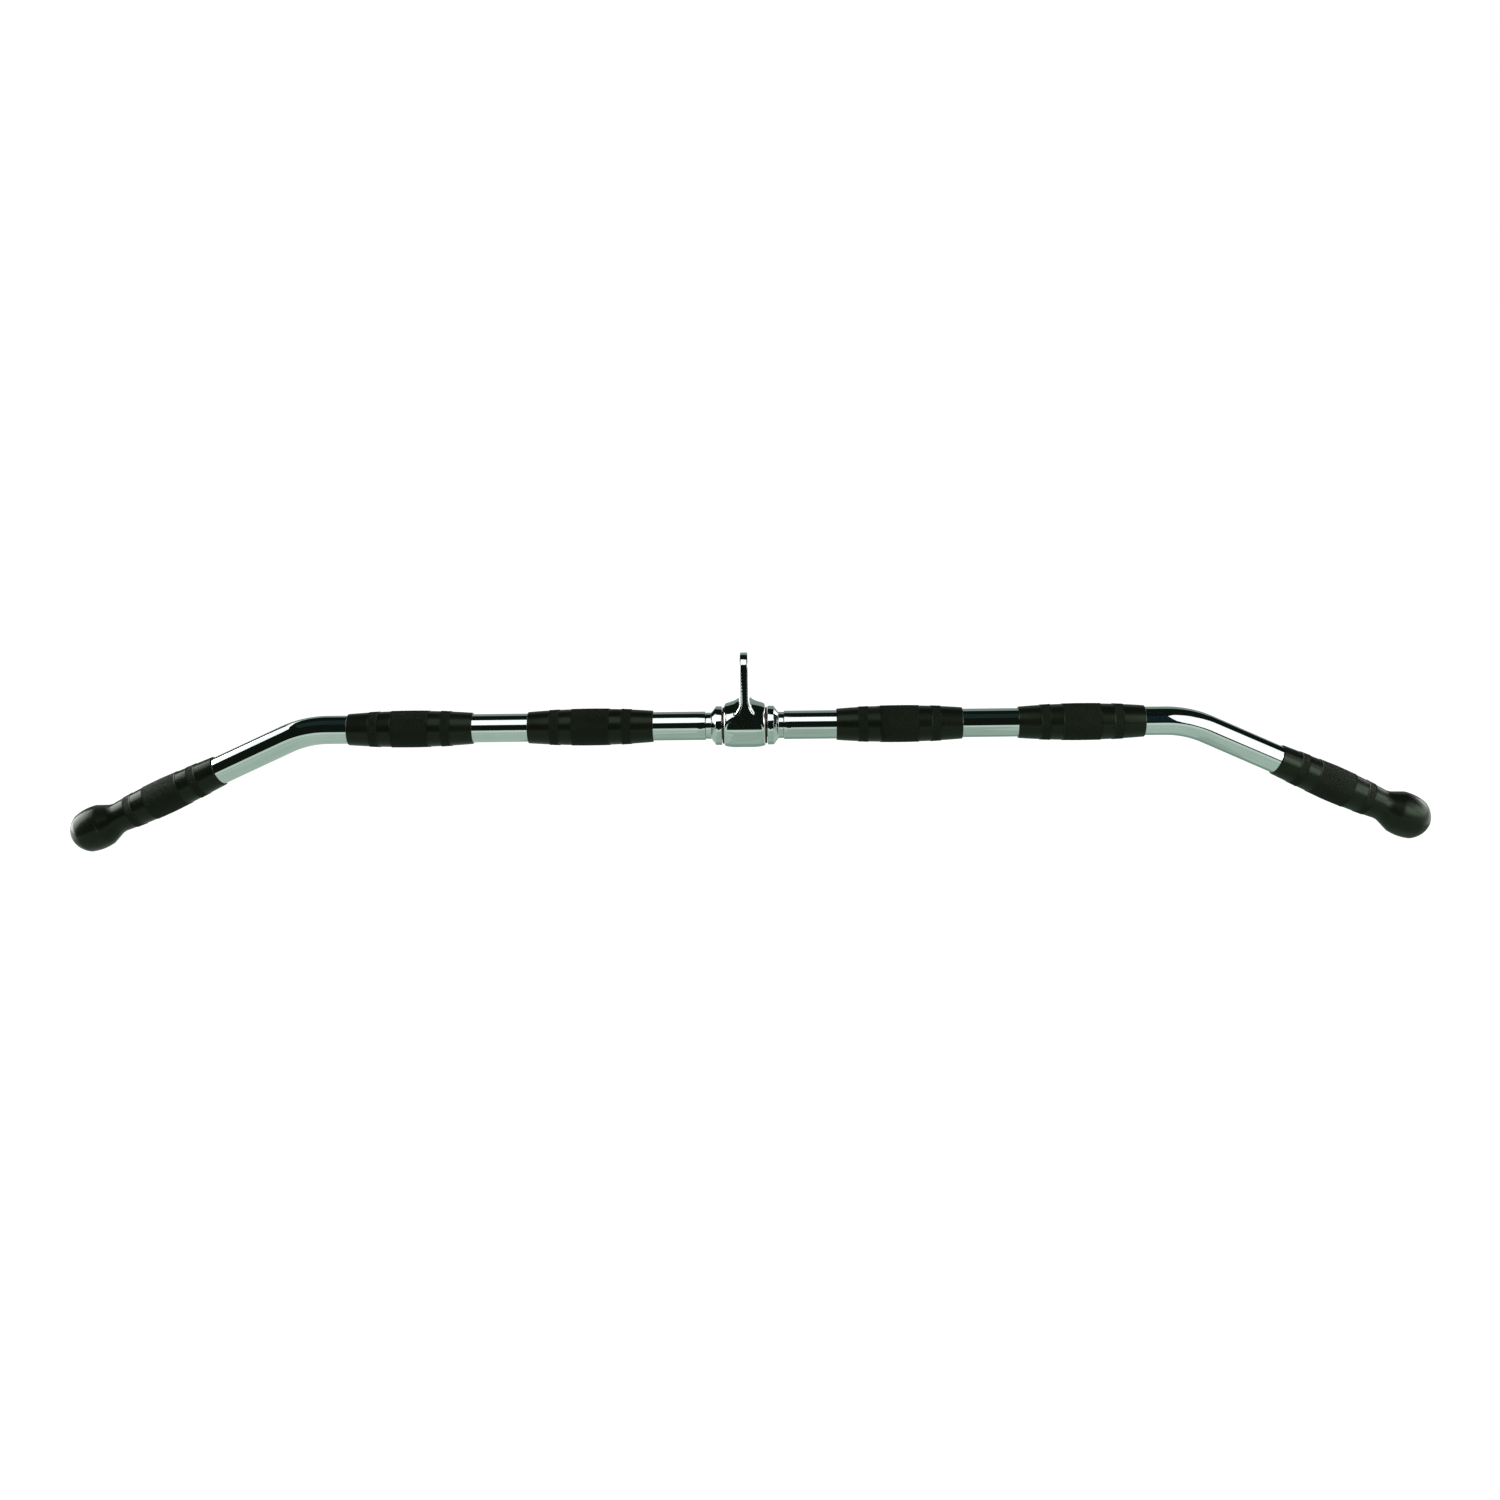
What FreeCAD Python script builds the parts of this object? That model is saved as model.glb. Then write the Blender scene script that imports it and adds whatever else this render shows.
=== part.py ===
import FreeCAD, Part
import math
import os

# Wide pulldown bar: two bent chrome tubes on a spindle that turns inside a cast hanger.
# Frame: origin at the middle of the hanger's eye, X along the straight bar, Z up, Y through the bar.
# All lengths are in millimetres and all angles in degrees.

# Bar tubes
tube_diameter = 26.7
tube_wall = 2.5
tube_edge_round = 0.7
bend_place = 412.5
bend_radius = 97.0
bend_angle = 24.5

# Hanger, a casting with a bored sleeve and an eye plate
eye_height = 55.0
eye_bore = 19.0
eye_ring_diameter = 30.0
eye_mouth_round = 1.6
plate_thickness = 7.5
plate_foot_rise = 4.8
plate_foot_blend = 10.0
sleeve_length = 39.0
sleeve_diameter = 41.0
sleeve_edge_round = 3.2

# Flanged bushes pressed into the sleeve
bush_wall = 2.5
bush_length = 15.0
bush_flange_thickness = 1.3
bush_flange_diameter = 34.0
bush_chamfer = 0.5

# Spindle and the two turned collars
spindle_hold = 42.0
spindle_chamfer = 1.2
collar_flange_diameter = 36.4
collar_flange_length = 5.8
collar_cone_length = 4.4
collar_neck_length = 5.0
collar_neck_diameter = 24.7
collar_edge_round = 0.6

# Set screws that hold the tubes on the spindle, put in from below
screw_place = 64.5
screw_diameter = 6.0
screw_length = 8.0
screw_sink = 0.6
screw_chamfer = 0.5
screw_socket_width = 3.0
screw_socket_depth = 2.6

# Rubber grips on the straight part
grip_length = 117.5
inner_grip_place = 144.2
outer_grip_place = 313.4
grip_end_diameter = 29.4
grip_middle_diameter = 34.0

# Rubber end handles: a hand part, a neck and a pommel
handle_start = 92.0
handle_length = 164.5
handle_rim_diameter = 29.2
handle_palm_diameter = 33.6
handle_neck_diameter = 28.9
handle_neck_curve = 20.0
pommel_front_diameter = 40.6
pommel_diameter = 41.7
pommel_back_diameter = 38.0
pommel_shoulder_diameter = 29.2
pommel_end_diameter = 15.0
pommel_end_crown = 2.0
pommel_end_wall = 29.6

# Both kinds of rubber
band_raise = 0.45
rubber_edge_chamfer = 0.6

# Plastic plugs in the tube ends, inside the handles
plug_head_thickness = 2.4
plug_head_inset = 0.4
plug_depth = 18.0
plug_wall = 1.8
plug_rib_height = 0.4
plug_rib_length = 2.0
plug_rib_pitch = 5.0
plug_rib_count = 3

# Fits
slip_clearance = 0.05
running_clearance = 0.05
press_clearance = 0.02
end_play = 0.4
cut_overrun = 5.0

# Places along the rubber pieces, as shares of each length from the end nearer the hanger
grip_band_shares = ((0.17, 0.255), (0.345, 0.655), (0.745, 0.83))
handle_band_shares = ((0.132, 0.19), (0.258, 0.48), (0.553, 0.608))
palm_share = 0.363
neck_share = 0.68
pommel_front_share = 0.79
pommel_widest_share = 0.868
pommel_back_share = 0.922
pommel_shoulder_share = 0.958
palm_swell_power = 1.2
palm_narrowing_power = 2

# Sizes that follow from the ones above
tube_radius = tube_diameter / 2
tube_bore_radius = tube_radius - tube_wall
spindle_radius = tube_bore_radius - slip_clearance
bush_bore_radius = spindle_radius + running_clearance
bush_radius = bush_bore_radius + bush_wall
sleeve_radius = sleeve_diameter / 2
sleeve_half = sleeve_length / 2
collar_face = sleeve_half + bush_flange_thickness + end_play
cone_start = collar_face + collar_flange_length
cone_end = cone_start + collar_cone_length
tube_start = cone_end + collar_neck_length
screw_head = tube_radius - screw_sink
screw_tip = screw_head - screw_length
rubber_bore_radius = tube_radius + slip_clearance
handle_bottom = handle_length - pommel_end_wall
arm_length = handle_start + handle_bottom - slip_clearance - plug_head_thickness
same_place = slip_clearance / 2

along_x = FreeCAD.Vector(1, 0, 0)
along_y = FreeCAD.Vector(0, 1, 0)
along_z = FreeCAD.Vector(0, 0, 1)
eye_middle = FreeCAD.Vector(0, 0, 0)
bar_middle = along_z * -eye_height
bend_corner = along_x * bend_place + bar_middle
arm_direction = FreeCAD.Rotation(along_y, bend_angle).multVec(along_x)


def point(x, r):
    """A point of a turned profile: x along the axis, r out from it."""
    return FreeCAD.Vector(x, 0, r)


def line(start, end):
    return Part.LineSegment(start, end).toShape()


def arc(start, middle, end):
    return Part.Arc(start, middle, end).toShape()


def turn(edges):
    """A closed profile turned right round the X axis."""
    return Part.Face(Part.Wire(edges)).revolve(eye_middle, along_x, 360)


def lines_through(corners):
    """Straight edges through corners given as x and radius."""
    places = [point(x, r) for x, r in corners]
    return [line(start, end) for start, end in zip(places, places[1:])]


def rounded_corner(before, place, after, radius):
    """Start, middle and end of the arc that rounds off a corner between two straight lines."""
    back = (before - place).normalize()
    ahead = (after - place).normalize()
    half = back.getAngle(ahead) / 2
    reach = radius / math.tan(half)
    centre = place + (back + ahead).normalize() * (radius / math.sin(half))
    middle = centre + (place - centre).normalize() * radius
    return place + back * reach, middle, place + ahead * reach


def turn_corners(corners):
    """A profile turned round the X axis: each corner is x, radius and, if it is rounded, by how much."""
    places = [point(corner[0], corner[1]) for corner in corners]
    edges = []
    last = places[-1]
    for i, corner in enumerate(corners):
        place = places[i]
        if len(corner) > 2:
            start, middle, end = rounded_corner(places[i - 1], place, places[i + 1], corner[2])
            edges.append(line(last, start))
            edges.append(arc(start, middle, end))
            last = end
        else:
            edges.append(line(last, place))
            last = place
    return turn(edges)


def on_bar(shape):
    """Moves a turned piece down to the axis of the straight bar."""
    return shape.translated(bar_middle)


def on_arm(shape):
    """Moves a turned piece on to the right arm, its x counted from the corner of the bend."""
    tilted = shape.rotated(eye_middle, along_y, bend_angle)
    return tilted.translated(bend_corner)


def mirrored(shape):
    return shape.mirror(eye_middle, along_x)


def is_ring(edge, radius):
    """True for a circular edge of the given radius."""
    if edge.Degenerated:
        return False
    return abs(getattr(edge.Curve, "Radius", 0) - radius) < same_place


def crown_curve(half_chord, rise):
    """Radius of the arc that rises by the given height over half its chord."""
    return (half_chord ** 2 + rise ** 2) / (2 * rise)


# Bar

def screw_hole(radius, depth_from_axis):
    """A hole along a set screw's axis, from outside the tube in to the given distance from its middle."""
    reach = tube_radius + cut_overrun - depth_from_axis
    bottom = along_x * screw_place + bar_middle - along_z * depth_from_axis
    return Part.makeCylinder(radius, reach, bottom, -along_z)


def bent_rod(radius):
    """A round rod along the middle line of one half of the bar: straight, one bend down, straight arm."""
    tangent = bend_radius * math.tan(math.radians(bend_angle / 2))
    start = along_x * tube_start + bar_middle
    bend_start = bend_corner - along_x * tangent
    bend_centre = bend_start - along_z * bend_radius
    start_face = Part.Face(Part.Wire(Part.makeCircle(radius, start, along_x)))
    bend_face = start_face.translated(bend_start - start)
    arm_face = bend_face.rotated(bend_centre, along_y, bend_angle)
    straight = start_face.extrude(bend_start - start)
    bend = bend_face.revolve(bend_centre, along_y, bend_angle)
    arm = arm_face.extrude(arm_direction * (arm_length - tangent))
    return straight.fuse([bend, arm])


def make_tube():
    """One half of the bar, with its end at the collar rounded and a hole for the set screw below."""
    rod = bent_rod(tube_radius)
    ends = [edge for edge in rod.Edges if abs(edge.CenterOfMass.x - tube_start) < same_place]
    tube = rod.makeFillet(tube_edge_round, ends).cut(bent_rod(tube_bore_radius))
    return tube.cut(screw_hole(screw_diameter / 2 + slip_clearance, 0))


def make_spindle():
    """The steel shaft through the hanger: each end sits in a tube and takes a set screw."""
    end = tube_start + spindle_hold
    nose = spindle_radius - spindle_chamfer
    shaft = on_bar(turn_corners([
        (-end, 0),
        (-end, nose),
        (-end + spindle_chamfer, spindle_radius),
        (end - spindle_chamfer, spindle_radius),
        (end, nose),
        (end, 0),
    ]))
    hole = screw_hole(screw_diameter / 2 + press_clearance, screw_tip)
    return shaft.cut(hole).cut(mirrored(hole))


def make_collar():
    """A turned collar: thrust flange, cone, and a neck that butts against the tube."""
    bore = spindle_radius + slip_clearance
    flange = collar_flange_diameter / 2
    neck = collar_neck_diameter / 2
    return on_bar(turn_corners([
        (collar_face, bore),
        (collar_face, flange, collar_edge_round),
        (cone_start, flange, collar_edge_round),
        (cone_end, neck),
        (tube_start, neck),
        (tube_start, bore),
    ]))


def make_set_screw():
    """A headless screw through the tube's wall into the spindle, with a hexagon socket below."""
    foot = along_x * screw_place + bar_middle
    outer_end = foot - along_z * screw_head
    screw = Part.makeCylinder(screw_diameter / 2, screw_length, outer_end, along_z)
    rims = [edge for edge in screw.Edges if is_ring(edge, screw_diameter / 2)]
    screw = screw.makeChamfer(screw_chamfer, rims)
    corner = along_x * (screw_socket_width / math.sqrt(3))
    corners = [outer_end + FreeCAD.Rotation(along_z, 360 * i / 6).multVec(corner) for i in range(7)]
    socket = Part.Face(Part.makePolygon(corners)).extrude(along_z * screw_socket_depth)
    return screw.cut(socket)


# Hanger

def make_bush():
    """A flanged bronze bush: its flange takes the thrust between sleeve and collar."""
    inner_end = sleeve_half - bush_length
    face = sleeve_half + bush_flange_thickness
    flange = bush_flange_diameter / 2
    return on_bar(turn_corners([
        (inner_end, bush_bore_radius),
        (inner_end, bush_radius - bush_chamfer),
        (inner_end + bush_chamfer, bush_radius),
        (sleeve_half, bush_radius),
        (sleeve_half, flange),
        (face, flange),
        (face, bush_bore_radius),
    ]))


def casting_blank():
    """Sleeve and a disc of the plate's thickness, turned as one: a cone rises into a hollow blend."""
    side = plate_thickness / 2
    foot = sleeve_radius + plate_foot_rise
    reach = eye_height + eye_ring_diameter
    blend = min(plate_foot_blend, sleeve_half - sleeve_edge_round - side)
    return on_bar(turn_corners([
        (-sleeve_half, 0),
        (-sleeve_half, sleeve_radius, sleeve_edge_round),
        (-side, foot, blend),
        (-side, reach),
        (side, reach),
        (side, foot, blend),
        (sleeve_half, sleeve_radius, sleeve_edge_round),
        (sleeve_half, 0),
    ]))


def side_outline():
    """The hanger seen along the bar: a ring round the eye whose flanks run on, tangent, to the sleeve."""
    ring = eye_ring_diameter / 2
    lean = math.asin((sleeve_radius - ring) / eye_height)
    side = -sleeve_half
    across = math.cos(lean)
    up = math.sin(lean)
    ring_front = FreeCAD.Vector(side, -ring * across, ring * up)
    ring_back = FreeCAD.Vector(side, ring * across, ring * up)
    sleeve_front = FreeCAD.Vector(side, -sleeve_radius * across, sleeve_radius * up - eye_height)
    sleeve_back = FreeCAD.Vector(side, sleeve_radius * across, sleeve_radius * up - eye_height)
    outline = Part.Wire([
        line(sleeve_front, ring_front),
        arc(ring_front, FreeCAD.Vector(side, 0, ring), ring_back),
        line(ring_back, sleeve_back),
        arc(sleeve_back, FreeCAD.Vector(side, 0, -eye_height - sleeve_radius), sleeve_front),
    ])
    return Part.Face(outline).extrude(along_x * sleeve_length)


def bored(body, middle, radius, length):
    """The body with a straight hole along X, cut clear at both ends."""
    reach = length / 2 + cut_overrun
    return body.cut(Part.makeCylinder(radius, reach * 2, middle - along_x * reach, along_x))


def make_hanger():
    """Sleeve and eye plate in one casting, bored for the two bushes and for the snap link."""
    body = casting_blank().common(side_outline())
    body = bored(body, bar_middle, bush_radius + press_clearance, sleeve_length)
    body = bored(body, eye_middle, eye_bore / 2, plate_thickness)
    rims = [edge for edge in body.Edges if is_ring(edge, eye_bore / 2)]
    mouths = [rim for rim in rims if rim.CenterOfMass.z > -eye_bore]
    return body.makeFillet(eye_mouth_round, mouths)


# Rubber

def banded_line(radius_at, length, band_shares, line_end):
    """Corners along the top of a rubber piece, with a step up and down again at each raised band."""
    places = [share * length for band in band_shares for share in band]
    corners = []
    for i, (start, end) in enumerate(zip([rubber_edge_chamfer] + places, places + [line_end])):
        rise = band_raise * (i % 2)
        corners.append((start, radius_at(start) + rise))
        corners.append((end, radius_at(end) + rise))
    return corners


def barrel_radius(x):
    """The grip's plain outline: a shallow barrel."""
    half = grip_length / 2
    crown = crown_curve(half, (grip_middle_diameter - grip_end_diameter) / 2)
    return grip_middle_diameter / 2 - crown + math.sqrt(crown ** 2 - (x - half) ** 2)


def make_grip(place):
    """A barrel grip moulded in rubber, with three raised bands."""
    end_radius = grip_end_diameter / 2
    corners = [(0, rubber_bore_radius), (0, end_radius - rubber_edge_chamfer)]
    corners += banded_line(barrel_radius, grip_length, grip_band_shares, grip_length - rubber_edge_chamfer)
    corners += [(grip_length, end_radius - rubber_edge_chamfer), (grip_length, rubber_bore_radius)]
    return on_bar(turn_corners(corners).translated(along_x * (place - grip_length / 2)))


def hand_radius(x):
    """The handle's plain outline: it swells from the rim to the palm and narrows to the neck."""
    palm_x = palm_share * handle_length
    neck_x = neck_share * handle_length
    if x < palm_x:
        drop = (handle_palm_diameter - handle_rim_diameter) / 2
        return handle_palm_diameter / 2 - drop * ((palm_x - x) / palm_x) ** palm_swell_power
    drop = (handle_palm_diameter - handle_neck_diameter) / 2
    return handle_palm_diameter / 2 - drop * ((x - palm_x) / (neck_x - palm_x)) ** palm_narrowing_power


def neck_and_cone(neck, front):
    """A hollow curve out of the neck that runs straight on, without a corner, to the pommel's front."""
    run = front.x - neck.x
    across = handle_neck_curve - (front.z - neck.z)
    cone = math.atan2(run, across) - math.acos(handle_neck_curve / math.hypot(run, across))

    def on_curve(angle):
        rise = handle_neck_curve * (1 - math.cos(angle))
        return neck + point(handle_neck_curve * math.sin(angle), rise)

    return [arc(neck, on_curve(cone / 2), on_curve(cone)), line(on_curve(cone), front)]


def pommel_line(front, end):
    """Round the pommel: full side, rolled shoulder and the slightly crowned end on the axis."""
    widest = point(pommel_widest_share * handle_length, pommel_diameter / 2)
    back = point(pommel_back_share * handle_length, pommel_back_diameter / 2)
    shoulder = point(pommel_shoulder_share * handle_length, pommel_shoulder_diameter / 2)
    crown = crown_curve(end.z, pommel_end_crown)
    half_angle = math.asin(end.z / crown) / 2
    crown_middle = point(handle_length - crown * (1 - math.cos(half_angle)), crown * math.sin(half_angle))
    return [
        arc(front, widest, back),
        arc(back, shoulder, end),
        arc(end, crown_middle, point(handle_length, 0)),
    ]


def make_end_handle():
    """An end handle: banded hand part, narrow neck and a pommel that closes over the tube's end."""
    rim_radius = handle_rim_diameter / 2
    neck = point(neck_share * handle_length, handle_neck_diameter / 2)
    front = point(pommel_front_share * handle_length, pommel_front_diameter / 2)
    end = point(handle_length - pommel_end_crown, pommel_end_diameter / 2)
    corners = [
        (handle_length, 0),
        (handle_bottom, 0),
        (handle_bottom, rubber_bore_radius),
        (0, rubber_bore_radius),
        (0, rim_radius - rubber_edge_chamfer),
    ]
    corners += banded_line(hand_radius, handle_length, handle_band_shares, neck.x)
    edges = lines_through(corners) + neck_and_cone(neck, front) + pommel_line(front, end)
    return on_arm(turn(edges).translated(along_x * handle_start))


# Tube plugs

def make_tube_plug():
    """A plastic plug: a ribbed cup pushed into the tube and a flat head on the tube's end."""
    inner_end = arm_length - plug_depth
    head_end = arm_length + plug_head_thickness
    head = tube_radius - plug_head_inset
    crest = tube_bore_radius - press_clearance
    core = crest - plug_rib_height
    cup = core - plug_wall
    corners = [(inner_end, cup), (inner_end, core)]
    for i in range(plug_rib_count):
        rib = inner_end + plug_rib_length + plug_rib_pitch * i
        corners.append((rib, core))
        corners.append((rib + plug_rib_height, crest))
        corners.append((rib + plug_rib_length, crest))
        corners.append((rib + plug_rib_length, core))
    corners += [
        (arm_length, core),
        (arm_length, head),
        (head_end, head),
        (head_end, 0),
        (arm_length, 0),
        (arm_length, cup),
    ]
    return on_arm(turn_corners(corners))


right_pieces = {
    "tube": make_tube(),
    "collar": make_collar(),
    "set_screw": make_set_screw(),
    "bush": make_bush(),
    "inner_grip": make_grip(inner_grip_place),
    "outer_grip": make_grip(outer_grip_place),
    "end_handle": make_end_handle(),
    "tube_plug": make_tube_plug(),
}

os.makedirs("parts", exist_ok=True)
make_hanger().exportStep("parts/hanger.step")
make_spindle().exportStep("parts/spindle.step")
for name, piece in right_pieces.items():
    piece.exportStep("parts/right_" + name + ".step")
    mirrored(piece).exportStep("parts/left_" + name + ".step")
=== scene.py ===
import bmesh
import bpy
import math
from mathutils import Matrix, Vector


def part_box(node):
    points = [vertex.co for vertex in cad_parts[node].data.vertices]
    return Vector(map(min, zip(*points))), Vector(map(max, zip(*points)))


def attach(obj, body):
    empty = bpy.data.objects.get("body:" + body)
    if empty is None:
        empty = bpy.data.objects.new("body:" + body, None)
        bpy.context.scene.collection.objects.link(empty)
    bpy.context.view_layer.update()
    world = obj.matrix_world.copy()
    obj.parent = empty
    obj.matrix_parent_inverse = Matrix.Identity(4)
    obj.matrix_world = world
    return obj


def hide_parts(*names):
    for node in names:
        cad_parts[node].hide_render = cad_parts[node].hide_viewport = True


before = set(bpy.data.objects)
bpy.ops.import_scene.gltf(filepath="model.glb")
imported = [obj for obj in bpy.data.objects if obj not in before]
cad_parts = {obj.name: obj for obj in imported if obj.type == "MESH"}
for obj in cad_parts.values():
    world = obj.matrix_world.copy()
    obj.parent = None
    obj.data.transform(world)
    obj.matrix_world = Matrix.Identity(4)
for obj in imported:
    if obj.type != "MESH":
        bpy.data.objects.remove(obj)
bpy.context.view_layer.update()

# Hanger: one steel casting, a bored sleeve with an eye plate on top for the cable's snap link.
# The casting is ground, polished by hand and chrome plated. The polishing rounds every rim.

mm = 0.001
casting_grain = 0.3 * mm
casting_rounding_passes = 80
sleeve_radius = 20.5 * mm
sleeve_half_length = 19.5 * mm
sleeve_straight_half = 8 * mm
sleeve_end_draw = 1.6 * mm
sleeve_wall = 4.5 * mm
chrome_light = "#D6DCDB"
chrome_veiled = "#C3CCCA"
chrome_roughness = (0.015, 0.05)
polish_veil_size = 22 * mm
polish_wave_length = 9 * mm
polish_wave_height = 0.005 * mm
casting_wave_height = 0.007 * mm

# A Mix node's colour sockets go by number, because its sockets for other types share their names.
mix_colours = (6, 7)
mix_result = 2


def linear(hex_colour):
    """An sRGB hex colour as linear red, green, blue and alpha."""
    parts = [int(hex_colour[i:i + 2], 16) / 255 for i in (1, 3, 5)]
    return [p / 12.92 if p <= 0.04045 else ((p + 0.055) / 1.055) ** 2.4 for p in parts] + [1]


def add(tree, kind, inputs=(), **settings):
    """Adds one node: settings are its own, inputs go by name or number and are values or outputs."""
    made = tree.nodes.new("ShaderNode" + kind)
    for name, value in settings.items():
        setattr(made, name, value)
    for key, value in dict(inputs).items():
        if isinstance(value, bpy.types.NodeSocket):
            tree.links.new(value, made.inputs[key])
        else:
            made.inputs[key].default_value = value
    return made


def new_material(name):
    """A material with an empty tree, and the coordinates of the piece that wears it."""
    made = bpy.data.materials.new(name)
    made.use_nodes = True
    made.node_tree.nodes.clear()
    return made, made.node_tree, add(made.node_tree, "TexCoord").outputs["Object"]


def show_surface(tree, shader_inputs):
    """Ends a material: its shader, fed with what the nodes before it made, and the output."""
    shader = add(tree, "BsdfPrincipled", shader_inputs)
    add(tree, "OutputMaterial", {"Surface": shader.outputs["BSDF"]})


def chrome_plate(name, wave_height):
    """Bright chrome over polished steel: a mirror with a faint veil and slow waves from the polishing."""
    made, tree, place = new_material(name)
    veil = add(tree, "TexNoise", {
        "Vector": place,
        "Scale": 1 / polish_veil_size,
        "Detail": 3,
    }).outputs["Fac"]
    waves = add(tree, "TexNoise", {
        "Vector": place,
        "Scale": 1 / polish_wave_length,
        "Detail": 1,
    }).outputs["Fac"]
    colour = add(tree, "Mix", {
        "Factor": veil,
        mix_colours[0]: linear(chrome_light),
        mix_colours[1]: linear(chrome_veiled),
    }, data_type="RGBA").outputs[mix_result]
    roughness = add(tree, "MapRange", {
        "Value": veil,
        "To Min": chrome_roughness[0],
        "To Max": chrome_roughness[1],
    }).outputs["Result"]
    show_surface(tree, {
        "Base Color": colour,
        "Metallic": 1,
        "Roughness": roughness,
        "Normal": add(tree, "Bump", {"Height": waves, "Distance": wave_height}).outputs["Normal"],
    })
    return made


def settled(piece):
    """Turns a piece's modifiers into plain mesh."""
    evaluated = piece.evaluated_get(bpy.context.evaluated_depsgraph_get())
    mesh = bpy.data.meshes.new_from_object(evaluated)
    piece.modifiers.clear()
    piece.data = mesh


def place_piece(piece, material, body, slot, *nodes):
    """Gives a piece its finish, its body and the nodes it stands for."""
    piece.data.materials.clear()
    piece.data.materials.append(material)
    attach(piece, body)
    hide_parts(*nodes)


def new_piece(name, mesh):
    """An object of its own in the scene."""
    made = bpy.data.objects.new(name, mesh)
    bpy.context.scene.collection.objects.link(made)
    return made


bar_height = sum(corner.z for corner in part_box("spindle")) / 2
casting = new_piece("hanger_casting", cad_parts["hanger"].data.copy())
remesh = casting.modifiers.new("casting skin", "REMESH")
remesh.mode = "VOXEL"
remesh.voxel_size = casting_grain
settled(casting)

# The sleeve is drawn in a little below, towards its ends, and its bore stays as it is.
for vertex in casting.data.vertices:
    out = Vector((0, vertex.co.y, vertex.co.z - bar_height))
    past = max(abs(vertex.co.x) - sleeve_straight_half, 0) / (sleeve_half_length - sleeve_straight_half)
    lower = min(max(-2 * out.z / sleeve_radius, 0), 1)
    outer = min(max((out.length - sleeve_radius) / sleeve_wall + 1, 0), 1)
    vertex.co -= out.normalized() * sleeve_end_draw * past ** 2 * lower * outer
polish = casting.modifiers.new("polished rims", "SMOOTH")
polish.iterations = casting_rounding_passes
settled(casting)
casting.data.shade_smooth()
chrome_casting = chrome_plate("polished chrome plated casting", casting_wave_height)
place_piece(casting, chrome_casting, "hanger", "chrome_casting", "hanger")

# Bushes: two flanged sleeves of sintered bronze, pressed into the hanger from its ends.
# Only the rims of their flanges show, as a brassy line in the gaps beside the sleeve.

# Both bronze colours are painted darker than the bronze is: painted shade for the narrow gaps where the
# flanges show.
bronze_dry_in_gap_shade = "#4A3E22"
bronze_oiled_in_gap_shade = "#241E10"
bronze_roughness = 0.38

# The grain of the pressed powder is drawn coarser than the real 0.1 mm, which wouldn't show.
bronze_grain = 0.8 * mm
bronze_grain_height = 0.02 * mm


def dress_nodes(material, *nodes):
    """Gives carried-over nodes their finish."""
    for node in nodes:
        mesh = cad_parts[node].data
        mesh.materials.clear()
        mesh.materials.append(material)


# Bronze powder pressed, sintered and soaked in oil: a dull brown metal, darker where the oil sits, and
# painted darker overall as shade for the narrow gaps.
bronze, tree, place = new_material("oiled sintered bronze")
grain = add(tree, "TexNoise", {"Vector": place, "Scale": 1 / bronze_grain, "Detail": 4}).outputs["Fac"]
show_surface(tree, {
    "Base Color": add(tree, "Mix", {
        "Factor": grain,
        mix_colours[0]: linear(bronze_oiled_in_gap_shade),
        mix_colours[1]: linear(bronze_dry_in_gap_shade),
    }, data_type="RGBA").outputs[mix_result],
    "Metallic": 1,
    "Roughness": bronze_roughness,
    "Normal": add(tree, "Bump", {"Height": grain, "Distance": bronze_grain_height}).outputs["Normal"],
})
dress_nodes(bronze, "left_bush", "right_bush")

# Spindle: a ground steel shaft through both bushes. The tubes and collars sit on its ends.
# It is hidden but for the running gap beside each bush, so it keeps its plain turned form.

steel_bright = "#B4B6B8"
steel_dull = "#8E9194"
steel_roughness = 0.22

# The lines of the grinding wheel are drawn coarser than the real 0.05 mm, which wouldn't show.
grinding_line = 0.4 * mm
grinding_line_height = 0.004 * mm


def ring_lines(tree, place, pitch):
    """Noise that changes only along the bar and out from it, as a turning or grinding tool leaves it."""
    parts = add(tree, "SeparateXYZ", {"Vector": place})
    drop = add(tree, "Math", {0: parts.outputs["Z"], 1: -bar_height}, operation="ADD").outputs["Value"]
    across = add(tree, "CombineXYZ", {"Y": parts.outputs["Y"], "Z": drop})
    out = add(tree, "VectorMath", {0: across.outputs["Vector"]}, operation="LENGTH").outputs["Value"]
    ring = add(tree, "CombineXYZ", {"X": parts.outputs["X"], "Y": out}).outputs["Vector"]
    return add(tree, "TexNoise", {"Vector": ring, "Scale": 1 / pitch, "Detail": 2}).outputs["Fac"]


# Ground steel: a clean grey gloss with fine rings round the shaft.
ground_steel, tree, place = new_material("ground steel")
lines = ring_lines(tree, place, grinding_line)
show_surface(tree, {
    "Base Color": add(tree, "Mix", {
        "Factor": lines,
        mix_colours[0]: linear(steel_dull),
        mix_colours[1]: linear(steel_bright),
    }, data_type="RGBA").outputs[mix_result],
    "Metallic": 1,
    "Roughness": steel_roughness,
    "Normal": add(tree, "Bump", {"Height": lines, "Distance": grinding_line_height}).outputs["Normal"],
})
dress_nodes(ground_steel, "spindle")

# Collars: two rings turned from steel bar, polished and chrome plated, one each side of the hanger.
# Each has a thrust flange with broken edges, a cone and a slim neck that meets the tube.

collar_bore_radius = 10.85 * mm
collar_flange_radius = 18.2 * mm
collar_flange_length = 5.8 * mm
collar_cone_length = 4.4 * mm
collar_neck_radius = 12.35 * mm
collar_edge_round = 0.6 * mm
collar_cone_blend = 1.0 * mm
axis_radius = 0.01 * mm
round_steps = 6
fine_around = 160
crease_angle = math.radians(32)


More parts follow.
